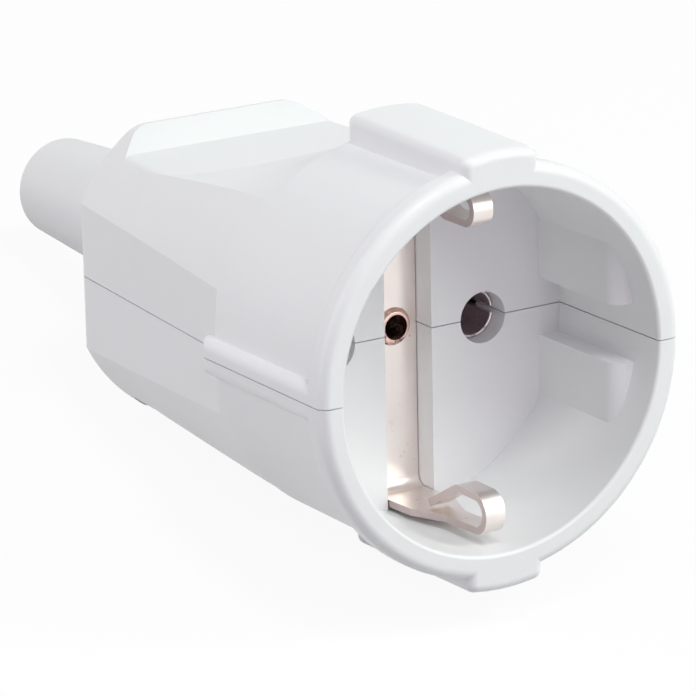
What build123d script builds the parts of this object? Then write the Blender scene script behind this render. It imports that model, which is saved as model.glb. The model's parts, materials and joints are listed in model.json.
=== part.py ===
"""Two-pole cord coupler with side earth springs, in millimetres.

The coupler is drawn along its own axis: the socket mouth is the plane x = 0 and faces +X, the cord leaves
towards -X, and the two half shells part at z = 0. The finished pieces are then tipped as they lie on a table.
"""

import os
from math import asin, atan2, cos, degrees, radians, sin, tan

from build123d import *

# Socket recess
mouth_radius = 19.5
mouth_round = 0.4
recess_depth = 18.2
pin_spacing = 19.0
pin_hole_radius = 2.85
channel_width = 5.9
channel_depth = 3.7
channel_wall = 1.8

# Guide blocks on the two side walls of the recess
guide_face = 16.8
guide_gap = 6.4
guide_front = 4.2
guide_front_round = 1.6

# Collar with its bead and its four keys
collar_wall = 1.6
collar_length = 22.4
bead_height = 1.1
bead_width = 3.2
bead_front_round = 1.2
bead_rear_round = 0.8
key_width = 9.2
key_front_height = 2.5
key_rear_height = 2.95
key_round = 1.0
side_key_thickness = 4.1
side_key_height = 1.1
side_key_end = 24.0
side_key_round = 1.2

# Tapered grip with its flats and finger dips
grip_end = 59.0
grip_taper = 2.2
grip_end_round = 1.8
flat_start = 24.0
flat_inset = 1.23
flat_taper = 2.91
flat_wall_angle = 45.0
dip_spread = 43.0
dip_depth = 7.2
dip_step = 0.6
dip_floor_front = 42.0
dip_floor_sides = 47.0
dip_floor_rear = 54.1
dip_edge_round = 1.5
ridge_rise = 2.4
ridge_start = 57.0
ridge_end_round = 4.0

# Hollow for the terminals
parting_gap = 0.12
cavity_front_half = 17.2
cavity_rear_half = 14.4
cavity_half_height = 11.6
cavity_corner = 5.0
rear_wall = 4.0

# Cord sleeve
sleeve_end = 93.7
sleeve_end_radius = 5.8
sleeve_root_radius = 7.9
sleeve_root_length = 0.6
sleeve_bore = 4.1
sleeve_end_round = 0.9
sleeve_flange_radius = 9.4
sleeve_flange = 1.4
sleeve_flange_inset = 1.3

# Earth strap
strap_width = 5.7
strap_thickness = 0.8
strap_reach = 18.6
strap_bend = 1.6
arm_lean = 2.2
arm_taper_start = 14.0
hoop_start = 9.5
hoop_width = 2.4
upper_hoop_front = 4.0
upper_hoop_top = 15.0
lower_hoop_front = 2.4
lower_hoop_top = 14.2
hoop_crest = 5.2
hoop_tip = 10.5
hoop_tip_height = 17.3

# Hollow rivet through strap, floor and earth terminal
rivet_radius = 1.7
rivet_bore = 1.4
rivet_head_radius = 2.1
rivet_head = 0.55
rivet_tail = 0.4

# Pin contacts with their terminals
contact_bore = 2.45
contact_wall = 0.65
contact_length = 11.5
contact_slit = 0.8
contact_slit_length = 8.0
contact_bore_overrun = 2.2
block_length = 7.6
block_width = 8.6
block_height = 7.2
block_shift = 1.2
block_round = 0.6
wire_shift = 3.1
wire_hole_radius = 1.5
wire_hole_depth = 4.8
wire_screw_inset = 2.6
spring_thickness = 0.45
spring_width = 2.6
spring_offset = 2.2
spring_gap = 2.4

# Earth terminal
terminal_sheet = 1.2
terminal_width = 7.2
terminal_height = 9.6
terminal_length = 10.0
terminal_screw_back = 6.2
washer_size = 6.2
washer_thickness = 0.8

# Screws and nuts
terminal_screw_radius = 1.5
terminal_head_radius = 2.5
terminal_head = 2.0
terminal_screw_length = 3.8
earth_screw_length = 5.0
clamp_screw_radius = 1.2
clamp_head_radius = 1.9
clamp_head = 1.7
clamp_screw_length = 8.0
housing_screw_radius = 1.5
housing_head_radius = 2.75
housing_head = 2.2
housing_head_seat = 3.2
slot_width = 0.8
slot_depth = 1.0
nut_flats = 5.5
nut_height = 2.4

# Screw bosses, posts, saddles and ribs inside the shells
boss_radius = 3.9
boss_x = 47.2
boss_y = 11.4
rib_root = 0.5
saddle_x = 30.0
saddle_thickness = 1.6
saddle_width = 9.2
saddle_lip = 0.4
block_rest_x = 39.4
block_rest_thickness = 3.0
hold_down_x = 36.8
hold_down_thickness = 1.2
hold_down_width = 5.2
earth_pad_length = 8.0
earth_pad_width = 6.8

# Cord clamp
clamp_inset = 2.4
clamp_width = 3.6
clamp_thickness = 1.2
clamp_half_length = 9.5
clamp_screw_y = 7.7
clamp_foot = 5.4
clamp_top_half = 2.5
clamp_rise = 4.8
clamp_bend = 0.8
post_radius = 2.0
cord_saddle_thickness = 1.6
cord_saddle_radius = 4.8
cord_saddle_lip = 1.0

# Clearances
slide_fit = 0.1
screw_fit = 0.05
loose_fit = 0.3

# Derived sizes
collar_radius = mouth_radius + collar_wall
bead_radius = collar_radius + bead_height
grip_end_radius = collar_radius - grip_taper
flat_front_half = collar_radius - flat_inset
flat_end_half = flat_front_half - flat_taper
dip_floor = collar_radius - dip_depth
ridge_height = dip_floor + ridge_rise
dip_half_width = collar_radius * sin(radians(dip_spread))
key_front = collar_radius + key_front_height
key_rear = collar_radius + key_rear_height
side_key_reach = collar_radius + side_key_height
channel_floor = recess_depth + channel_depth
floor_back = channel_floor + channel_wall
cavity_end = grip_end - rear_wall
clamp_x = cavity_end - clamp_inset
pin_y = pin_spacing / 2
contact_radius = contact_bore + contact_wall
contact_front = floor_back + slide_fit
contact_end = contact_front + contact_length
block_end = contact_end + block_length
block_top = block_height / 2
terminal_back = floor_back + terminal_sheet
terminal_floor = -terminal_height / 2
terminal_top = terminal_floor + terminal_sheet
earth_screw_x = terminal_back + terminal_screw_back
head_seat = housing_head_seat - dip_floor
housing_screw_length = nut_height - head_seat
strap_front = channel_floor - strap_thickness
strap_line = channel_floor - strap_thickness / 2
rib_foot = cavity_half_height + rib_root
sides = {"left": -1, "right": 1}
hoops = {1: (upper_hoop_front, upper_hoop_top), -1: (lower_hoop_front, lower_hoop_top)}
clear_of_body = 2 * collar_radius
cutting_margin = 1.0


def screw(radius: float, length: float, head_radius: float, head: float, plane: Plane) -> Part:
    """A slotted cheese-head screw, its head's seat on the plane and its shank against the plane's normal."""
    with BuildPart() as piece:
        with BuildSketch(plane):
            Circle(head_radius)
        extrude(amount=head)
        top = piece.faces().sort_by(Axis(plane.origin, plane.z_dir))[-1]
        fillet(top.edges(), head / 4)
        with BuildSketch(plane.offset(head - slot_depth)):
            Rectangle(slot_width, 2 * head_radius + cutting_margin)
        extrude(amount=head, mode=Mode.SUBTRACT)
        with BuildSketch(plane):
            Circle(radius)
        extrude(amount=-length)
        tip = piece.faces().sort_by(Axis(plane.origin, plane.z_dir))[0]
        chamfer(tip.edges(), radius / 3)
    return piece.part


# Cutter for one finger dip: a ramp from the collar's round end, a flat floor and a short slope to the ridge
with BuildPart() as dip:
    round_end_height = collar_radius * cos(radians(dip_spread))
    ramp_top = collar_radius - dip_step
    ramp_slope = (ramp_top - dip_floor) / (dip_floor_front - collar_length)
    ramp_sag = dip_floor - ramp_slope * (dip_floor_sides - dip_floor_front)
    wide_half = dip_half_width + cutting_margin
    with BuildSketch(Plane.YZ.offset(-collar_length)):
        with BuildLine():
            ThreePointArc(
                (-dip_half_width, round_end_height), (0, ramp_top), (dip_half_width, round_end_height)
            )
            Polyline(
                (dip_half_width, round_end_height),
                (dip_half_width, clear_of_body),
                (-dip_half_width, clear_of_body),
                (-dip_half_width, round_end_height),
            )
        make_face()
    with BuildSketch(Plane.YZ.offset(-dip_floor_sides)):
        with BuildLine():
            ThreePointArc((-wide_half, dip_floor), (0, ramp_sag), (wide_half, dip_floor))
            Polyline(
                (wide_half, dip_floor),
                (wide_half, clear_of_body),
                (-wide_half, clear_of_body),
                (-wide_half, dip_floor),
            )
        make_face()
    loft(ruled=True)
    split(bisect_by=Plane.XY.offset(dip_floor), keep=Keep.TOP)
    slope_run = (ridge_start - dip_floor_rear) / (ridge_height - dip_floor)
    with BuildSketch(Plane.XZ):
        with BuildLine():
            Polyline(
                (-dip_floor_sides, dip_floor),
                (-dip_floor_rear, dip_floor),
                (-dip_floor_rear - slope_run * (clear_of_body - dip_floor), clear_of_body),
                (-dip_floor_sides, clear_of_body),
                close=True,
            )
        make_face()
    extrude(amount=wide_half, both=True)

# Both shells as one outer form: collar, bead and tapered grip, with the flats and dips cut and the keys added
with BuildPart() as body:
    with BuildSketch(Plane.XZ) as outline:
        with BuildLine():
            Polyline(
                (0, 0),
                (0, bead_radius),
                (-bead_width, bead_radius),
                (-bead_width, collar_radius),
                (-collar_length, collar_radius),
                (-grip_end, grip_end_radius),
                (-grip_end, 0),
                close=True,
            )
        make_face()
        fillet(outline.vertices().group_by(Axis.Y)[-1].sort_by(Axis.X)[-1], bead_front_round)
        fillet(outline.vertices().group_by(Axis.Y)[-1].sort_by(Axis.X)[0], bead_rear_round)
    revolve(axis=Axis.X)
    with BuildSketch(Plane.XY):
        flat_slope = (flat_front_half - flat_end_half) / (grip_end - flat_start)
        beyond_half = flat_end_half - flat_slope * cutting_margin
        wall_run = (clear_of_body - flat_front_half) / tan(radians(flat_wall_angle))
        with BuildLine():
            Polyline(
                (-flat_start, flat_front_half),
                (-grip_end - cutting_margin, beyond_half),
                (-grip_end - cutting_margin, clear_of_body),
                (-flat_start + wall_run, clear_of_body),
                close=True,
            )
        make_face()
        mirror(about=Plane.XZ)
    extrude(amount=clear_of_body, both=True, mode=Mode.SUBTRACT)
    with BuildSketch(Plane.XZ):
        with Locations((-dip_floor_sides - cutting_margin, ridge_height)):
            Rectangle(clear_of_body, clear_of_body, align=(Align.MAX, Align.MIN))
        mirror(about=Plane.XZ)
    extrude(amount=clear_of_body, both=True, mode=Mode.SUBTRACT)
    ridge_tops = body.faces().filter_by(Plane.XY)
    fillet(ridge_tops.edges().filter_by(lambda e: abs(e.center().Y) > cutting_margin), ridge_end_round)
    fillet(body.faces().sort_by(Axis.X)[0].edges(), grip_end_round)
    add(dip.part, mode=Mode.SUBTRACT)
    mirror(dip.part, about=Plane.XY, mode=Mode.SUBTRACT)
    level_faces = body.faces().filter_by(Plane.XY)
    dip_floors = level_faces.filter_by(lambda f: abs(f.center().Z) < dip_floor + slide_fit)
    fillet(dip_floors.edges().filter_by(GeomType.HYPERBOLA), dip_edge_round)

with BuildPart() as keys:
    with BuildSketch(Plane.XZ):
        with BuildLine():
            Polyline((0, 0), (0, key_front), (-collar_length, key_rear), (-collar_length, 0), close=True)
        make_face()
    revolve(axis=Axis.X)
    Box(2 * collar_length, key_width, 2 * key_rear, mode=Mode.INTERSECT)
    fillet(keys.edges(), key_round)
    with BuildSketch(Plane.YZ.offset(-side_key_end)):
        Rectangle(2 * side_key_reach, side_key_thickness)
    extrude(amount=side_key_end - bead_width / 2)
    outer_edges = keys.edges().filter_by(lambda e: abs(abs(e.center().Y) - side_key_reach) < slide_fit)
    fillet(outer_edges, side_key_round)

# The outer form hollowed by the recess, the strap channel, the terminal hollow and the holes between them
with BuildPart() as housing:
    add(body.part)
    add(keys.part)
    with BuildSketch(Plane.YZ):
        Circle(mouth_radius)
    extrude(amount=-recess_depth, mode=Mode.SUBTRACT)
    mouth_edge = housing.edges().filter_by(GeomType.CIRCLE).filter_by(
        lambda e: abs(e.center().X) < slide_fit and abs(e.radius - mouth_radius) < slide_fit
    )
    fillet(mouth_edge, mouth_round)
    with BuildSketch(Plane.YZ.offset(-recess_depth)):
        Circle(mouth_radius)
        Rectangle(channel_width, 2 * mouth_radius, mode=Mode.INTERSECT)
    extrude(amount=-channel_depth, mode=Mode.SUBTRACT)
    with BuildSketch(Plane.YZ.offset(-floor_back)):
        RectangleRounded(2 * cavity_front_half, 2 * cavity_half_height, cavity_corner)
    with BuildSketch(Plane.YZ.offset(-cavity_end)):
        RectangleRounded(2 * cavity_rear_half, 2 * cavity_half_height, cavity_corner)
    loft(mode=Mode.SUBTRACT)
    with BuildSketch(Plane.YZ.offset(-recess_depth)):
        with Locations((-pin_y, 0), (pin_y, 0)):
            Circle(pin_hole_radius)
        Circle(rivet_radius + slide_fit)
    extrude(amount=recess_depth - floor_back, mode=Mode.SUBTRACT)
    with BuildSketch(Plane.YZ.offset(-cavity_end)):
        Circle(sleeve_root_radius + slide_fit)
    extrude(amount=-rear_wall, mode=Mode.SUBTRACT)
    with BuildSketch(Plane.YZ.offset(-cavity_end - sleeve_flange_inset + slide_fit)):
        Circle(sleeve_flange_radius + slide_fit)
    extrude(amount=-sleeve_flange - 2 * slide_fit, mode=Mode.SUBTRACT)

# One pair of guide blocks on a side wall of the recess, above and below the parting
with BuildPart() as guides:
    with BuildSketch(Plane.YZ.offset(-recess_depth - slide_fit)):
        Circle(mouth_radius + collar_wall / 2)
        with Locations((-guide_face, 0)):
            Rectangle(2 * guide_face, clear_of_body, align=(Align.MIN, Align.CENTER), mode=Mode.SUBTRACT)
        Rectangle(clear_of_body, guide_gap, mode=Mode.SUBTRACT)
    extrude(amount=recess_depth + slide_fit - guide_front)
    guide_edges = guides.edges().filter_by(Axis.Z).group_by(Axis.X)[-1]
    inner_edges = guide_edges.filter_by(lambda e: abs(abs(e.center().Y) - guide_face) < slide_fit)
    fillet(inner_edges, guide_front_round)

with BuildPart() as upper_shell:
    add(housing.part)
    add(guides.part)
    split(bisect_by=Plane.XY.offset(parting_gap / 2), keep=Keep.TOP)
    with BuildSketch(Plane.XY):
        with Locations((-boss_x, -boss_y), (-boss_x, boss_y)):
            Circle(boss_radius)
    extrude(amount=rib_foot)
    with BuildSketch(Plane.XY.offset(saddle_lip)):
        with Locations((-saddle_x, -pin_y), (-saddle_x, pin_y)):
            Rectangle(saddle_thickness, saddle_width)
    extrude(amount=rib_foot - saddle_lip)
    with BuildSketch(Plane.XY.offset(block_top + slide_fit)):
        with Locations((-hold_down_x, -pin_y), (-hold_down_x, pin_y)):
            Rectangle(hold_down_thickness, hold_down_width)
    extrude(amount=rib_foot - block_top - slide_fit)
    with BuildSketch(Plane.YZ.offset(-saddle_x)):
        with Locations((-pin_y, 0), (pin_y, 0)):
            Circle(contact_radius + slide_fit)
    extrude(amount=saddle_thickness, both=True, mode=Mode.SUBTRACT)
    with BuildSketch(Plane.XY):
        with Locations((-boss_x, -boss_y), (-boss_x, boss_y)):
            RegularPolygon(nut_flats / 2 + slide_fit, 6, major_radius=False)
    extrude(amount=nut_height + slide_fit, mode=Mode.SUBTRACT)

with BuildPart() as lower_shell:
    add(housing.part)
    add(guides.part)
    split(bisect_by=Plane.XY.offset(-parting_gap / 2), keep=Keep.BOTTOM)
    with BuildSketch(Plane.XY):
        with Locations((-boss_x, -boss_y), (-boss_x, boss_y)):
            Circle(boss_radius)
        with Locations((-clamp_x, -clamp_screw_y), (-clamp_x, clamp_screw_y)):
            Circle(post_radius)
    extrude(amount=-rib_foot)
    with BuildSketch(Plane.XY.offset(-saddle_lip)):
        with Locations((-saddle_x, -pin_y), (-saddle_x, pin_y)):
            Rectangle(saddle_thickness, saddle_width)
    extrude(amount=saddle_lip - rib_foot)
    with BuildSketch(Plane.XY.offset(-cord_saddle_lip)):
        with Locations((-clamp_x, 0)):
            Rectangle(cord_saddle_thickness, 2 * clamp_screw_y)
    extrude(amount=cord_saddle_lip - rib_foot)
    with BuildSketch(Plane.XY.offset(-block_top)):
        with Locations((-block_rest_x, block_shift - pin_y), (-block_rest_x, pin_y - block_shift)):
            Rectangle(block_rest_thickness, block_width)
    extrude(amount=block_top - rib_foot)
    with BuildSketch(Plane.XY.offset(terminal_floor)):
        with Locations((-earth_screw_x, 0)):
            Rectangle(earth_pad_length, earth_pad_width)
    extrude(amount=-rib_foot - terminal_floor)
    with BuildSketch(Plane.XY.offset(terminal_floor)):
        with Locations((-earth_screw_x, 0)):
            Circle(terminal_screw_radius + loose_fit)
    extrude(amount=-earth_screw_length, mode=Mode.SUBTRACT)
    with BuildSketch(Plane.YZ.offset(-saddle_x)):
        with Locations((-pin_y, 0), (pin_y, 0)):
            Circle(contact_radius + slide_fit)
    extrude(amount=saddle_thickness, both=True, mode=Mode.SUBTRACT)
    with BuildSketch(Plane.YZ.offset(-clamp_x)):
        Circle(cord_saddle_radius)
    extrude(amount=cord_saddle_thickness, both=True, mode=Mode.SUBTRACT)
    with BuildSketch(Plane.XY):
        with Locations((-clamp_x, -clamp_screw_y), (-clamp_x, clamp_screw_y)):
            Circle(clamp_screw_radius + screw_fit)
    extrude(amount=-clamp_screw_length, mode=Mode.SUBTRACT)
    with BuildSketch(Plane.XY):
        with Locations((-boss_x, -boss_y), (-boss_x, boss_y)):
            Circle(housing_screw_radius + slide_fit)
    extrude(amount=-clear_of_body, mode=Mode.SUBTRACT)
    with BuildSketch(Plane.XY.offset(head_seat)):
        with Locations((-boss_x, -boss_y), (-boss_x, boss_y)):
            Circle(housing_head_radius + slide_fit)
    extrude(amount=-clear_of_body, mode=Mode.SUBTRACT)

# Soft tapered sleeve, held by its flange in the rear wall
with BuildPart() as cord_sleeve:
    with BuildSketch(Plane.XZ) as outline:
        flange_front = cavity_end + sleeve_flange_inset
        flange_back = flange_front + sleeve_flange
        with BuildLine():
            Polyline(
                (-cavity_end, sleeve_bore),
                (-cavity_end, sleeve_root_radius),
                (-flange_front, sleeve_root_radius),
                (-flange_front, sleeve_flange_radius),
                (-flange_back, sleeve_flange_radius),
                (-flange_back, sleeve_root_radius),
                (-grip_end - sleeve_root_length, sleeve_root_radius),
                (-sleeve_end, sleeve_end_radius),
                (-sleeve_end, sleeve_bore),
                close=True,
            )
        make_face()
        fillet(outline.vertices().group_by(Axis.X)[0].sort_by(Axis.Y)[-1], sleeve_end_round)
    revolve(axis=Axis.X)

# One nickel strip: it lies in the channel, turns forward at both ends and curls into the two earth springs
with BuildPart() as earth_strap:
    arm_slope = tan(radians(arm_lean))
    hoop_start_height = strap_reach - arm_slope * (strap_line - hoop_start)
    with BuildSketch(Plane.XZ):
        with BuildLine():
            FilletPolyline(
                (-hoop_start, hoop_start_height),
                (-strap_line, strap_reach),
                (-strap_line, -strap_reach),
                (-hoop_start, -hoop_start_height),
                radius=strap_bend,
            )
        trace(line_width=strap_thickness)
    extrude(amount=strap_width / 2, both=True)
    with BuildSketch(Plane.XY):
        with BuildLine():
            Polyline(
                (-arm_taper_start, strap_width / 2),
                (-hoop_start, hoop_width / 2),
                (0, hoop_width / 2),
                (0, strap_width),
                (-arm_taper_start, strap_width),
                close=True,
            )
        make_face()
        mirror(about=Plane.XZ)
    extrude(amount=mouth_radius, both=True, mode=Mode.SUBTRACT)
    for up, (hoop_front, hoop_top) in hoops.items():
        hoop_foot = strap_reach - arm_slope * (strap_line - hoop_front)
        with BuildSketch(Plane.XZ):
            with BuildLine():
                FilletPolyline(
                    (-hoop_start, up * hoop_start_height),
                    (-hoop_front, up * hoop_foot),
                    (-hoop_front, up * hoop_top),
                    (-hoop_front - hoop_crest, up * hoop_top),
                    (-hoop_front - hoop_tip, up * hoop_tip_height),
                    radius=(hoop_foot - hoop_top) / 2 - screw_fit,
                )
            trace(line_width=strap_thickness)
        extrude(amount=hoop_width / 2, both=True)
    with BuildSketch(Plane.YZ.offset(-channel_floor)):
        Circle(rivet_radius + screw_fit)
    extrude(amount=strap_thickness, mode=Mode.SUBTRACT)

with BuildPart() as earth_rivet:
    with BuildSketch(Plane.XZ):
        with BuildLine():
            Polyline(
                (-strap_front + rivet_head, rivet_bore),
                (-strap_front + rivet_head, rivet_radius),
                (-strap_front, rivet_head_radius),
                (-strap_front, rivet_radius),
                (-terminal_back, rivet_radius),
                (-terminal_back, rivet_head_radius),
                (-terminal_back - rivet_tail, rivet_head_radius),
                (-terminal_back - rivet_tail, rivet_bore),
                close=True,
            )
        make_face()
    revolve(axis=Axis.X)
    front_edges = earth_rivet.edges().filter_by(GeomType.CIRCLE).group_by(Axis.X)[-1]
    fillet(front_edges.sort_by(SortBy.RADIUS)[-1], rivet_head / 3)

with BuildPart() as earth_terminal:
    with BuildSketch(Plane.XZ):
        with BuildLine():
            FilletPolyline(
                (-floor_back - terminal_sheet / 2, -terminal_floor),
                (-floor_back - terminal_sheet / 2, terminal_floor + terminal_sheet / 2),
                (-terminal_back - terminal_length, terminal_floor + terminal_sheet / 2),
                radius=terminal_sheet,
            )
        trace(line_width=terminal_sheet)
    extrude(amount=terminal_width / 2, both=True)
    with BuildSketch(Plane.YZ.offset(-terminal_back)):
        Circle(rivet_radius + screw_fit)
    extrude(amount=terminal_sheet, mode=Mode.SUBTRACT)
    with BuildSketch(Plane.XY.offset(terminal_floor)):
        with Locations((-earth_screw_x, 0)):
            Circle(terminal_screw_radius + screw_fit)
    extrude(amount=terminal_sheet, mode=Mode.SUBTRACT)

with BuildPart() as earth_terminal_washer:
    with BuildSketch(Plane.XY.offset(terminal_top)):
        with Locations((-earth_screw_x, 0)):
            Rectangle(washer_size, washer_size)
            Circle(terminal_screw_radius + slide_fit, mode=Mode.SUBTRACT)
    extrude(amount=washer_thickness)

with BuildPart() as cord_clamp:
    with BuildSketch(Plane.YZ.offset(-clamp_x)):
        with BuildLine():
            FilletPolyline(
                (-clamp_half_length, clamp_thickness / 2),
                (-clamp_foot, clamp_thickness / 2),
                (-clamp_top_half, clamp_rise),
                (clamp_top_half, clamp_rise),
                (clamp_foot, clamp_thickness / 2),
                (clamp_half_length, clamp_thickness / 2),
                radius=clamp_bend,
            )
        trace(line_width=clamp_thickness)
    extrude(amount=clamp_width / 2, both=True)
    with BuildSketch(Plane.XY):
        with Locations((-clamp_x, -clamp_screw_y), (-clamp_x, clamp_screw_y)):
            Circle(clamp_screw_radius + slide_fit)
    extrude(amount=clamp_thickness, mode=Mode.SUBTRACT)

pieces = {
    "upper_shell": upper_shell.part,
    "lower_shell": lower_shell.part,
    "cord_sleeve": cord_sleeve.part,
    "earth_strap": earth_strap.part,
    "earth_rivet": earth_rivet.part,
    "earth_terminal": earth_terminal.part,
    "earth_terminal_washer": earth_terminal_washer.part,
    "cord_clamp": cord_clamp.part,
}

earth_screw_seat = Plane.XY.offset(terminal_top + washer_thickness).move(Location((-earth_screw_x, 0, 0)))
pieces["earth_terminal_screw"] = screw(
    terminal_screw_radius, earth_screw_length, terminal_head_radius, terminal_head, earth_screw_seat
)

for side_name, side in sides.items():
    contact_y = side * pin_y
    block_y = side * (pin_y - block_shift)
    wire_y = side * (pin_y - wire_shift)
    wire_screw_x = -block_end + wire_screw_inset
    spring_front = -contact_front - spring_offset

    with BuildPart() as contact:
        with BuildSketch(Plane.YZ.offset(-contact_end)):
            with Locations((contact_y, 0)):
                Circle(contact_radius)
        extrude(amount=contact_length)
        with BuildSketch(Plane.YZ.offset(-block_end)):
            with Locations((block_y, 0)):
                RectangleRounded(block_width, block_height, block_round)
        extrude(amount=block_length)
        with BuildSketch(Plane.YZ.offset(-contact_front)):
            with Locations((contact_y, 0)):
                Circle(contact_bore)
        extrude(amount=-contact_length - contact_bore_overrun, mode=Mode.SUBTRACT)
        with BuildSketch(Plane.YZ.offset(-contact_front)):
            with Locations((contact_y, 0)):
                Rectangle(2 * contact_radius + cutting_margin, contact_slit)
        extrude(amount=-contact_slit_length, mode=Mode.SUBTRACT)
        with BuildSketch(Plane.YZ.offset(-block_end)):
            with Locations((wire_y, 0)):
                Circle(wire_hole_radius)
        extrude(amount=wire_hole_depth, mode=Mode.SUBTRACT)
        with BuildSketch(Plane.XY):
            with Locations((wire_screw_x, wire_y)):
                Circle(terminal_screw_radius + screw_fit)
        extrude(amount=block_height, mode=Mode.SUBTRACT)
    pieces[f"{side_name}_contact"] = contact.part

    with BuildPart() as contact_spring:
        with BuildSketch(Plane.YZ.offset(spring_front)):
            with Locations((contact_y, 0)):
                Circle(contact_radius + spring_thickness)
                Circle(contact_radius, mode=Mode.SUBTRACT)
            with Locations((contact_y, contact_radius)):
                Rectangle(spring_gap, contact_radius, mode=Mode.SUBTRACT)
        extrude(amount=-spring_width)
    pieces[f"{side_name}_contact_spring"] = contact_spring.part

    wire_screw_seat = Plane.XY.offset(block_top).move(Location((wire_screw_x, wire_y, 0)))
    pieces[f"{side_name}_terminal_screw"] = screw(
        terminal_screw_radius, terminal_screw_length, terminal_head_radius, terminal_head, wire_screw_seat
    )

    clamp_screw_seat = Plane.XY.offset(clamp_thickness).move(Location((-clamp_x, side * clamp_screw_y, 0)))
    pieces[f"{side_name}_clamp_screw"] = screw(
        clamp_screw_radius, clamp_screw_length, clamp_head_radius, clamp_head, clamp_screw_seat
    )

    housing_seat = Plane(origin=(-boss_x, side * boss_y, head_seat), x_dir=(1, 0, 0), z_dir=(0, 0, -1))
    pieces[f"{side_name}_housing_screw"] = screw(
        housing_screw_radius, housing_screw_length, housing_head_radius, housing_head, housing_seat
    )

    with BuildPart() as housing_nut:
        with BuildSketch(Plane.XY):
            with Locations((-boss_x, side * boss_y)):
                RegularPolygon(nut_flats / 2, 6, major_radius=False)
                Circle(housing_screw_radius + screw_fit, mode=Mode.SUBTRACT)
        extrude(amount=nut_height)
    pieces[f"{side_name}_housing_nut"] = housing_nut.part

# On a table the coupler tips back until its lower key and its rear ridge both touch
key_lean = atan2(key_rear - key_front, collar_length)
key_sink = key_round / cos(key_lean) + key_round * tan(key_lean)
key_corner = Vector(key_round - collar_length, key_sink - key_rear)
ridge_corner = Vector(grip_end_round - grip_end, grip_end_round - ridge_height)
between = key_corner - ridge_corner
rest_pitch = degrees(atan2(-between.Y, between.X) - asin((grip_end_round - key_round) / between.length))
resting = Rotation(0, -rest_pitch, 0)

os.makedirs("parts", exist_ok=True)
for name, piece in pieces.items():
    laid = piece.moved(resting)
    laid.label = name
    export_step(laid, f"parts/{name}.step")
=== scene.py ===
"""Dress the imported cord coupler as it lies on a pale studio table."""

import json
import logging
import math
from dataclasses import dataclass
from enum import Enum
from typing import Any, Optional, Union

import bpy
import numpy as np
from mathutils import Matrix, Vector


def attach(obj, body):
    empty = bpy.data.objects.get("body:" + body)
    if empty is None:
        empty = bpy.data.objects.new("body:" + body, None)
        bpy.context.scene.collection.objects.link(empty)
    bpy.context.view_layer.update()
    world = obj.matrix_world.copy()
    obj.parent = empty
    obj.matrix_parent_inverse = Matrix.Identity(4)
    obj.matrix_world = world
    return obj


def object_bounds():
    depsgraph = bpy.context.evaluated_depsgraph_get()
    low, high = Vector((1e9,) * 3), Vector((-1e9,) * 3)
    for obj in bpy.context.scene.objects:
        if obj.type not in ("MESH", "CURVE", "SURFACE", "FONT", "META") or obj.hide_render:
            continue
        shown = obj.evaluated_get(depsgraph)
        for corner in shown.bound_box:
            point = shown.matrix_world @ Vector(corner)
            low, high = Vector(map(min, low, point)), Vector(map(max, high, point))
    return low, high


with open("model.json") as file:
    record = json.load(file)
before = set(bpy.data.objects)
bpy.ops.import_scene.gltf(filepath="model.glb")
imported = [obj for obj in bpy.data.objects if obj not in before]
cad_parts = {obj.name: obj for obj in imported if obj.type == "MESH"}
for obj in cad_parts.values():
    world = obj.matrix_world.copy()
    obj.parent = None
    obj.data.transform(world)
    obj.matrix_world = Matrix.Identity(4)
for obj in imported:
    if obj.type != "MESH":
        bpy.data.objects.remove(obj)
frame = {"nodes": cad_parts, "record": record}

LOG = logging.getLogger("coupler")
CAD_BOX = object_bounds()
MM = 0.001

Colour = tuple[float, float, float]


class Grain(Enum):
    """How a metal's surface was left by its making."""

    ROLLED = "rolled"
    BARREL = "barrel"


class Wire:
    """A node socket that can be used in sums, so that an expression adds its own Math nodes."""

    def __init__(self, bench: "Bench", socket: Any) -> None:
        """Keep the socket and the bench that owns its node tree."""
        self.bench = bench
        self.socket = socket

    def _math(self, operation: str, first: Any, second: Any) -> "Wire":
        """Add one Math node.

        Args:
            operation: Name of the Math node's operation.
            first: Left value or wire.
            second: Right value or wire.

        Returns:
            The node's result.
        """
        return self.bench.node("ShaderNodeMath", {"operation": operation}, {0: first, 1: second})

    def __add__(self, other: Any) -> "Wire":
        """Sum."""
        return self._math("ADD", self, other)

    def __radd__(self, other: Any) -> "Wire":
        """Sum with a number on the left."""
        return self._math("ADD", other, self)

    def __sub__(self, other: Any) -> "Wire":
        """Difference."""
        return self._math("SUBTRACT", self, other)

    def __rsub__(self, other: Any) -> "Wire":
        """Difference from a number on the left."""
        return self._math("SUBTRACT", other, self)

    def __mul__(self, other: Any) -> "Wire":
        """Product."""
        return self._math("MULTIPLY", self, other)

    def __rmul__(self, other: Any) -> "Wire":
        """Product with a number on the left."""
        return self._math("MULTIPLY", other, self)

    def most(self, other: Any) -> "Wire":
        """The larger of two."""
        return self._math("MAXIMUM", self, other)


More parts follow.
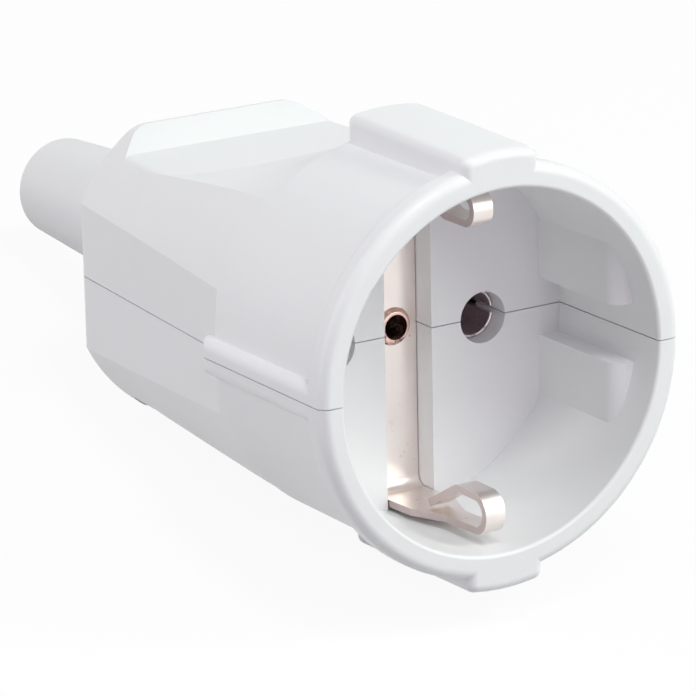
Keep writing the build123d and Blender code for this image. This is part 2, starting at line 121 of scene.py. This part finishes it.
class Bench:
    """A node tree, with a short way to add nodes to it."""

    def __init__(self, tree: bpy.types.NodeTree) -> None:
        """Start with an empty tree."""
        self.tree = tree
        self.tree.nodes.clear()

    def node(
        self,
        kind: str,
        settings: Optional[dict[str, Any]] = None,
        inputs: Optional[dict[Any, Any]] = None,
        output: Union[int, str, None] = 0,
    ) -> Optional[Wire]:
        """Add any node.

        Args:
            kind: The node's type name.
            settings: Attributes set first, such as a Math node's operation.
            inputs: Values or wires for its sockets, by name or place.
            output: Which output to return, or None for a node that has none.

        Returns:
            The chosen output.
        """
        made = self.tree.nodes.new(kind)
        for key, value in (settings or {}).items():
            setattr(made, key, value)
        for key, value in (inputs or {}).items():
            self.feed(made.inputs[key], value)
        return None if output is None else Wire(self, made.outputs[output])

    def feed(self, socket: Any, value: Any) -> None:
        """Give a socket a wire's value or a constant."""
        if isinstance(value, Wire):
            self.tree.links.new(value.socket, socket)
        else:
            socket.default_value = value

    def place(self, scale: tuple[float, float, float] = (1.0, 1.0, 1.0)) -> Wire:
        """Object coordinates, scaled.

        Args:
            scale: Factor along each axis.

        Returns:
            The coordinates.
        """
        spot = self.node("ShaderNodeTexCoord", output="Object")
        return self.node("ShaderNodeMapping", {"vector_type": "POINT"}, {"Vector": spot, "Scale": scale})

    def noise(self, spot: Wire, scale: float, detail: float = 3.0, roughness: float = 0.55) -> Wire:
        """Fractal noise from 0 to 1."""
        inputs = {"Vector": spot, "Scale": scale, "Detail": detail, "Roughness": roughness}
        return self.node("ShaderNodeTexNoise", {}, inputs)

    def seen(self) -> Wire:
        """One for rays from the camera, a mirror or glass, and nought for light that falls on things."""
        names = ("Is Camera Ray", "Is Glossy Ray", "Is Transmission Ray")
        camera, glossy, clear = (self.node("ShaderNodeLightPath", output=name) for name in names)
        return camera.most(glossy).most(clear)

    def sideways(self) -> Wire:
        """The square of the surface normal's part along Y: one on a face that looks left or right."""
        normal = self.node("ShaderNodeNewGeometry", output="True Normal")
        side = self.node("ShaderNodeSeparateXYZ", {}, {"Vector": normal}, output="Y")
        return side * side

    def mix(self, share: Wire, low: Any, high: Any) -> Wire:
        """A colour between two others, each a wire or four numbers."""
        return self.node("ShaderNodeMix", {"data_type": "RGBA"}, {0: share, 6: low, 7: high}, output=2)

    def blend(self, share: Wire, low: Colour, high: Colour) -> Wire:
        """A colour between two plain ones."""
        return self.mix(share, (*low, 1.0), (*high, 1.0))

    def step(self, value: Wire, start: float, width: float) -> Wire:
        """Nought below the start, one above start plus width, and a straight rise between."""
        inputs = {"Value": value, "From Min": start, "From Max": start + width}
        return self.node("ShaderNodeMapRange", {}, inputs)

    def bump(self, height: Wire, distance: float, strength: float, under: Optional[Wire] = None) -> Wire:
        """A normal that follows a height in metres times the distance."""
        inputs: dict[str, Any] = {"Height": height, "Distance": distance, "Strength": strength}
        if under is not None:
            inputs["Normal"] = under
        return self.node("ShaderNodeBump", {}, inputs)


class Skin(Bench):
    """A material's node tree: one Principled shader and its output."""

    def __init__(self, name: str) -> None:
        """Start a material with only its shader and its output."""
        self.material = bpy.data.materials.new(name)
        self.material.use_nodes = True
        super().__init__(self.material.node_tree)
        self.output = self.tree.nodes.new("ShaderNodeOutputMaterial")
        self.shader = self.tree.nodes.new("ShaderNodeBsdfPrincipled")
        self.tree.links.new(self.shader.outputs[0], self.output.inputs["Surface"])

    def set(self, name: str, value: Any) -> None:
        """Give one of the shader's sockets a wire or a constant."""
        self.feed(self.shader.inputs[name], value)


@dataclass(frozen=True)
class MouldedPlastic:
    """White moulded plastic: nearly even, with a soft mottle, shallow sinks and a fine tool texture."""

    name: str
    light: Colour
    shade: Colour
    roughness: float
    coat: float
    texture: float
    sink: float = 0.00004
    sink_scale: float = 70.0
    mottle_scale: float = 180.0
    texture_scale: float = 2600.0
    mottle_rough: float = 0.12
    pore_rough: float = 0.06
    specular: float = 0.4
    coat_rough: float = 0.18
    sink_strength: float = 0.6
    texture_strength: float = 0.35

    def make(self) -> bpy.types.Material:
        """Build the material.

        Returns:
            The material.
        """
        skin = Skin(self.name)
        spot = skin.place()
        mottle = skin.noise(spot, self.mottle_scale)
        pores = skin.noise(spot, self.texture_scale, detail=2.0)
        sinks = skin.noise(spot, self.sink_scale, detail=1.0)
        skin.set("Base Color", skin.blend(mottle, self.shade, self.light))
        rough = self.roughness + (mottle - 0.5) * self.mottle_rough + (pores - 0.5) * self.pore_rough
        skin.set("Roughness", rough)
        skin.set("Specular IOR Level", self.specular)
        skin.set("Coat Weight", self.coat)
        skin.set("Coat Roughness", self.coat_rough)
        hollows = skin.bump(sinks, self.sink, self.sink_strength)
        skin.set("Normal", skin.bump(pores, self.texture, self.texture_strength, hollows))
        return skin.material


@dataclass(frozen=True)
class PlainMetal:
    """A metal with the fine lines of rolling or the mottle of barrel plating, and stains where it has aged.

    A stamped strip also has a darker colour for its edges, which face sideways along Y: the edges' own tone
    with painted shade and a painted dark reflection on them.
    """

    name: str
    colour: Colour
    worn: Colour
    stain: Colour
    roughness: float
    grain: Grain
    stained: float = 0.2
    grain_scale: float = 900.0
    stain_scale: float = 700.0
    edge_tone_and_shade: Optional[Colour] = None
    stretch: float = 0.08
    line_share: float = 0.4
    line_rough: float = 0.18
    line_depth: float = 0.00002
    line_strength: float = 0.25
    cloud_rough: float = 0.1
    stain_start: float = 0.66
    stain_gain: float = 0.3
    stain_edge: float = 0.1
    stain_rough: float = 0.25
    stain_dulls: float = 0.3
    edge_shade_start: float = 0.6
    edge_shade_width: float = 0.2
    shear_rough: float = 0.15

    def make(self) -> bpy.types.Material:
        """Build the material.

        Returns:
            The material.
        """
        skin = Skin(self.name)
        along = self.stretch if self.grain is Grain.ROLLED else 1.0
        lines = skin.noise(skin.place((along, 1.0, along)), self.grain_scale, detail=4.0)
        cloud = skin.noise(skin.place(), self.grain_scale / 4, detail=2.0)
        spots = skin.noise(skin.place(), self.stain_scale, detail=5.0, roughness=0.7)
        aged = skin.step(spots, self.stain_start - self.stain_gain * self.stained, self.stain_edge)
        tone = skin.blend(cloud * (1.0 - self.line_share) + lines * self.line_share, self.worn, self.colour)
        rough = self.roughness + (lines - 0.5) * self.line_rough + (cloud - 0.5) * self.cloud_rough
        rough = rough + aged * self.stain_rough
        # Faces that look sideways along Y take a darker colour: the stamped strip's own edge tone, with
        # painted shade and a painted dark reflection on those edges. The added roughness is the edges' own.
        if self.edge_tone_and_shade is not None:
            edge_and_shade_mask = skin.step(skin.sideways(), self.edge_shade_start, self.edge_shade_width)
            tone = skin.mix(edge_and_shade_mask, tone, (*self.edge_tone_and_shade, 1.0))
            rough = rough + edge_and_shade_mask * self.shear_rough
        skin.set("Base Color", skin.mix(aged, tone, (*self.stain, 1.0)))
        skin.set("Metallic", 1.0 - aged * self.stain_dulls)
        skin.set("Roughness", rough)
        skin.set("Normal", skin.bump(lines, self.line_depth, self.line_strength))
        return skin.material


Finish = Union[MouldedPlastic, PlainMetal]

SHELL = MouldedPlastic("shell_white", (0.905, 0.905, 0.915), (0.88, 0.88, 0.89), 0.38, 0.05, 0.00002)
SLEEVE = MouldedPlastic("sleeve_white", (0.895, 0.895, 0.905), (0.865, 0.865, 0.875), 0.5, 0.0, 0.00004)
NICKEL = PlainMetal(
    "strap_nickel",
    colour=(0.93, 0.875, 0.845),
    worn=(0.8, 0.72, 0.69),
    stain=(0.5, 0.4, 0.37),
    roughness=0.34,
    grain=Grain.ROLLED,
    stained=0.08,
    # Colour of the faces that look sideways: the strip edges' own tone, darkened with painted shade.
    edge_tone_and_shade=(0.6, 0.5, 0.49),
)
COPPER = PlainMetal(
    "rivet_copper",
    colour=(0.93, 0.69, 0.62),
    worn=(0.68, 0.43, 0.37),
    stain=(0.2, 0.11, 0.11),
    roughness=0.24,
    grain=Grain.BARREL,
    stained=0.5,
    grain_scale=1500.0,
    stain_scale=900.0,
)
BRASS = PlainMetal(
    "contact_brass",
    colour=(0.84, 0.74, 0.78),
    worn=(0.7, 0.6, 0.64),
    stain=(0.4, 0.32, 0.34),
    roughness=0.45,
    grain=Grain.BARREL,
)
STEEL = PlainMetal(
    "spring_steel",
    colour=(0.62, 0.62, 0.63),
    worn=(0.5, 0.5, 0.51),
    stain=(0.25, 0.24, 0.24),
    roughness=0.3,
    grain=Grain.ROLLED,
)
ZINC = PlainMetal(
    "screw_zinc",
    colour=(0.74, 0.75, 0.76),
    worn=(0.6, 0.61, 0.62),
    stain=(0.36, 0.36, 0.37),
    roughness=0.3,
    grain=Grain.BARREL,
)


@dataclass
class Table:
    """A pale table top that shows as white and keeps the coupler's soft shadow."""

    half: float = 1.2
    cells: int = 25
    glow: float = 0.92
    white: Colour = (0.96, 0.96, 0.96)
    thrown: Colour = (0.45, 0.45, 0.46)
    roughness: float = 0.9
    specular: float = 0.1
    name: str = "table_top"

    def build(self, height: float) -> bpy.types.Object:
        """Make the sheet, a level square grid.

        Args:
            height: Level of the table top.

        Returns:
            The sheet.
        """
        line = np.linspace(-self.half, self.half, self.cells)
        run, across = np.meshgrid(line, line, indexing="ij")
        points = np.stack([run, across, np.full_like(run, height)], axis=-1).reshape(-1, 3)
        return grid_mesh(self.name, points, self.cells, self.cells)

    def dress(self, sheet: bpy.types.Object) -> None:
        """Give the sheet a white that eyes and mirrors see evenly, mixed with its lit colour.

        Args:
            sheet: The table top.
        """
        skin = Skin("table_white")
        skin.set("Base Color", skin.blend(skin.seen(), self.thrown, self.white))
        skin.set("Roughness", self.roughness)
        skin.set("Specular IOR Level", self.specular)
        lit = Wire(skin, skin.shader.outputs[0])
        glow = skin.node("ShaderNodeEmission", {}, {"Color": (1.0, 1.0, 1.0, 1.0), "Strength": 1.0})
        both = skin.node("ShaderNodeMixShader", {}, {0: skin.seen() * self.glow, 1: lit, 2: glow})
        skin.feed(skin.output.inputs["Surface"], both)
        sheet.data.materials.append(skin.material)


def grid_mesh(name: str, points: np.ndarray, rows: int, columns: int) -> bpy.types.Object:
    """Join a grid of points, row by row, into quads.

    Args:
        name: Name of the object.
        points: Rows times columns points.
        rows: Number of rows.
        columns: Number of columns.

    Returns:
        The object, linked to the scene.
    """
    corner = (np.arange(rows - 1)[:, None] * columns + np.arange(columns - 1)[None, :]).reshape(-1)
    quads = np.stack([corner, corner + columns, corner + columns + 1, corner + 1], axis=1)
    mesh = bpy.data.meshes.new(name)
    mesh.from_pydata(points.tolist(), [], quads.tolist())
    mesh.update()
    made = bpy.data.objects.new(name, mesh)
    bpy.context.scene.collection.objects.link(made)
    return made


@dataclass
class Camera:
    """The photograph's camera, placed by angles about the coupler's own axis, in degrees and millimetres.

    The near and far limits of its view are in metres.
    """

    azimuth: float = 57.925
    elevation: float = 16.827
    roll: float = -1.21
    distance: float = 487.74
    aside: float = -16.125
    above: float = 2.626
    focal_px: float = 4752.5
    frame_px: float = 696.0
    near: float = 0.01
    far: float = 10.0

    def build(self, lay: Matrix) -> bpy.types.Object:
        """Make the camera.

        Args:
            lay: Turn from the coupler's own axes to the table's.

        Returns:
            The camera.
        """
        turn, rise, roll = (math.radians(v) for v in (self.azimuth, self.elevation, self.roll))
        back = Vector((math.sin(turn) * math.cos(rise), -math.cos(turn) * math.cos(rise), math.sin(rise)))
        level = Vector((math.cos(turn), math.sin(turn), 0.0))
        upright = back.cross(level)
        right = math.cos(roll) * level + math.sin(roll) * upright
        up = math.cos(roll) * upright - math.sin(roll) * level
        spot = (right * self.aside + up * self.above + back * self.distance) * MM
        data = bpy.data.cameras.new("photo_camera")
        data.sensor_fit = "HORIZONTAL"
        data.angle = 2 * math.atan(self.frame_px / 2 / self.focal_px)
        data.clip_start = self.near
        data.clip_end = self.far
        camera = bpy.data.objects.new("photo_camera", data)
        axes = Matrix((right, up, back)).transposed().to_4x4()
        camera.matrix_world = lay @ Matrix.Translation(spot) @ axes
        bpy.context.scene.collection.objects.link(camera)
        bpy.context.scene.camera = camera
        return camera


@dataclass(frozen=True)
class Lamp:
    """One square soft box, placed by the camera's own directions."""

    name: str
    right: float
    up: float
    back: float
    size: float
    power: float
    colour: Colour = (1.0, 1.0, 1.0)

    def build(self, camera: bpy.types.Object, reach: float) -> bpy.types.Object:
        """Hang the lamp so that it faces the coupler.

        Args:
            camera: The photograph's camera.
            reach: How far from the coupler it hangs.

        Returns:
            The lamp.
        """
        data = bpy.data.lights.new(self.name, "AREA")
        data.shape = "SQUARE"
        data.size = self.size
        data.energy = self.power
        data.color = self.colour
        axes = camera.matrix_world.to_3x3()
        toward = self.right * axes.col[0] + self.up * axes.col[1] + self.back * axes.col[2]
        lamp = bpy.data.objects.new(self.name, data)
        lamp.location = toward.normalized() * reach
        lamp.rotation_mode = "QUATERNION"
        lamp.rotation_quaternion = toward.to_track_quat("Z", "Y")
        bpy.context.scene.collection.objects.link(lamp)
        return lamp


LAMPS = (
    Lamp("key_box", 0.25, 1.0, 0.9, 0.12, 0.95, (0.95, 1.0, 0.98)),
    Lamp("front_box", 0.3, 0.4, 1.0, 0.4, 0.64, (0.94, 0.95, 1.0)),
    Lamp("low_box", 0.7, -0.35, 0.9, 0.3, 0.38, (1.0, 0.85, 0.97)),
    Lamp("right_box", 1.0, 0.4, 0.4, 0.45, 1.36, (0.9, 1.0, 0.89)),
    Lamp("right_key_box", 0.75, 0.6, 0.3, 0.12, 0.78, (0.92, 1.0, 0.94)),
    Lamp("left_box", -1.0, 0.35, 0.3, 0.45, 1.42, (0.99, 0.98, 1.0)),
    Lamp("left_top_box", -0.8, 1.0, 0.2, 0.5, 0.33, (0.88, 1.0, 0.9)),
    Lamp("back_box", 0.0, 0.8, -1.0, 0.5, 0.12, (0.85, 1.0, 1.0)),
)


@dataclass
class Studio:
    """Soft lamps around the coupler and an even pale sky."""

    sky: float = 0.135
    sky_colour: Colour = (1.0, 0.86, 1.0)
    reach: float = 0.6
    lamps: tuple[Lamp, ...] = LAMPS

    def build(self, camera: bpy.types.Object) -> None:
        """Hang the lamps and set the sky, which shows as white.

        Args:
            camera: The photograph's camera.
        """
        for lamp in self.lamps:
            lamp.build(camera, self.reach)
        world = bpy.data.worlds.new("studio_sky")
        world.use_nodes = True
        bench = Bench(world.node_tree)
        sky = bench.node("ShaderNodeBackground", {}, {"Color": (*self.sky_colour, 1.0), "Strength": self.sky})
        white = bench.node("ShaderNodeBackground", {}, {"Color": (1.0, 1.0, 1.0, 1.0), "Strength": 1.0})
        both = bench.node("ShaderNodeMixShader", {}, {0: bench.seen(), 1: sky, 2: white})
        bench.node("ShaderNodeOutputWorld", {}, {"Surface": both}, output=None)
        bpy.context.scene.world = world


def mount(name: str) -> dict[str, Any]:
    """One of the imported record's mounts, by its name."""
    return next(m for m in frame["record"]["mounts"] if m["name"] == name)


def resting_turn() -> Matrix:
    """Turn from the coupler's own axes to the table's, read from the socket's axis.

    Returns:
        The turn about Y.
    """
    socket = mount("socket")
    return Matrix.Rotation(-math.atan2(socket["axis"][2], socket["axis"][0]), 4, "Y")


def arc_blade(
    name: str, outline: np.ndarray, centre: float, start: float, end: float, steps: int
) -> bpy.types.Object:
    """Carry a closed outline round an arc about the coupler's long axis and close both ends.

    A point of the outline at (x, r) goes to (x, centre + r cos t, r sin t) for t from start to end.

    Args:
        name: Name of the object.
        outline: Points of depth and radius in millimetres, in turn around the outline.
        centre: Sideways place of the arc's axis in millimetres.
        start: First angle in radians.
        end: Last angle in radians.
        steps: Number of places along the arc.

    Returns:
        The object, linked to the scene, with its place in its mesh.
    """
    turn = np.linspace(start, end, steps)[:, None]
    depth = np.broadcast_to(outline[:, 0], (steps, len(outline)))
    points = np.stack([depth, centre + outline[:, 1] * np.cos(turn), outline[:, 1] * np.sin(turn)], axis=-1)
    points = points.reshape(-1, 3) @ np.array(resting_turn().to_3x3()).T * MM
    count = len(outline)
    row = np.arange(count)
    following = np.roll(row, -1)
    base = (np.arange(steps - 1) * count)[:, None]
    ring = base + row
    ahead = base + following
    quads = np.stack([ring, ring + count, ahead + count, ahead], axis=-1)
    last = (steps - 1) * count
    faces = quads.reshape(-1, 4).tolist() + [row.tolist(), (row[::-1] + last).tolist()]
    mesh = bpy.data.meshes.new(name)
    mesh.from_pydata(points.tolist(), [], faces)
    mesh.update()
    made = bpy.data.objects.new(name, mesh)
    bpy.context.scene.collection.objects.link(made)
    return made


@dataclass
class ContactMouth:
    """The two blades at the front of one pin contact, which stand in its pin hole, in millimetres."""

    side: str
    front: float = -20.3
    back: float = -23.8
    inner: float = 2.42
    outer: float = 2.74
    lip: float = 0.16
    slit: float = 0.4
    bow_points: int = 7
    steps: int = 40
    finish: PlainMetal = BRASS

    def build(self) -> list[bpy.types.Object]:
        """Make both blades, each a bent strip with a rounded front edge.

        Returns:
            The upper and the lower blade.
        """
        centre = mount(f"{self.side}_pin")["pos_m"][1] / MM
        bow = np.linspace(0.0, math.pi, self.bow_points)
        middle = (self.inner + self.outer) / 2
        half = (self.outer - self.inner) / 2
        depth = self.front - self.lip + self.lip * np.sin(bow)
        front = np.stack([depth, middle + half * np.cos(bow)], axis=-1)
        outline = np.concatenate([front, [[self.back, self.inner], [self.back, self.outer]]])
        gap = self.slit / middle
        blades = []
        for place, start in (("upper", 0.0), ("lower", math.pi)):
            name = f"{self.side}_contact_{place}_blade"
            blade = arc_blade(name, outline, centre, start + gap, start + math.pi - gap, self.steps)
            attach(blade, "root")
            blades.append(blade)
        return blades

    def dress(self, made: dict[str, bpy.types.Material]) -> None:
        """Build the blades and give them the contact's own finish.

        Args:
            made: Materials by name.
        """
        for blade in self.build():
            blade.data.materials.append(made[self.finish.name])
            LOG.info("%s wears %s", blade.name, self.finish.name)


@dataclass
class SubAssembly:
    """Pieces of the coupler that are fitted together, with the finish that each wears."""

    title: str
    wears: dict[str, Finish]

    def build(self) -> list[bpy.types.Object]:
        """The sub-assembly's CAD nodes, which keep their shapes and places.

        Returns:
            The nodes.
        """
        return [frame["nodes"][name] for name in self.wears]

    def dress(self, made: dict[str, bpy.types.Material]) -> None:
        """Put each node's finish into its material slots.

        Args:
            made: Materials by name, added to as they are first needed.
        """
        for node, finish in zip(self.build(), self.wears.values()):
            if finish.name not in made:
                made[finish.name] = finish.make()
            for place in node.material_slots:
                place.material = made[finish.name]
            LOG.info("%s: %s wears %s", self.title, node.name, finish.name)


def contact_side(side: str) -> SubAssembly:
    """One pin's contact with its ring spring and its wire screw.

    Args:
        side: Which side of the coupler, left or right.

    Returns:
        The sub-assembly.
    """
    return SubAssembly(
        f"{side} contact",
        {f"{side}_contact": BRASS, f"{side}_contact_spring": STEEL, f"{side}_terminal_screw": ZINC},
    )


SUB_ASSEMBLIES = (
    SubAssembly("housing", {"upper_shell": SHELL, "lower_shell": SHELL}),
    SubAssembly("sleeve", {"cord_sleeve": SLEEVE}),
    SubAssembly(
        "earth path",
        {
            "earth_strap": NICKEL,
            "earth_rivet": COPPER,
            "earth_terminal": BRASS,
            "earth_terminal_washer": ZINC,
            "earth_terminal_screw": ZINC,
        },
    ),
    contact_side("left"),
    contact_side("right"),
    SubAssembly("cord clamp", {"cord_clamp": STEEL, "left_clamp_screw": ZINC, "right_clamp_screw": ZINC}),
    SubAssembly(
        "fixings",
        {
            "left_housing_screw": ZINC,
            "right_housing_screw": ZINC,
            "left_housing_nut": ZINC,
            "right_housing_nut": ZINC,
        },
    ),
)

CONTACT_MOUTHS = (ContactMouth("left"), ContactMouth("right"))


def main() -> None:
    """Dress the coupler, lay the table, hang the lamps and set the camera."""
    logging.basicConfig(level=logging.INFO)
    made: dict[str, bpy.types.Material] = {}
    for group in SUB_ASSEMBLIES:
        group.dress(made)
    for mouth in CONTACT_MOUTHS:
        mouth.dress(made)
    camera = Camera().build(resting_turn())
    table = Table()
    sheet = table.build(CAD_BOX[0].z)
    table.dress(sheet)
    Studio().build(camera)
    bpy.context.scene.view_settings.view_transform = "Standard"


if __name__ == "__main__":
    main()
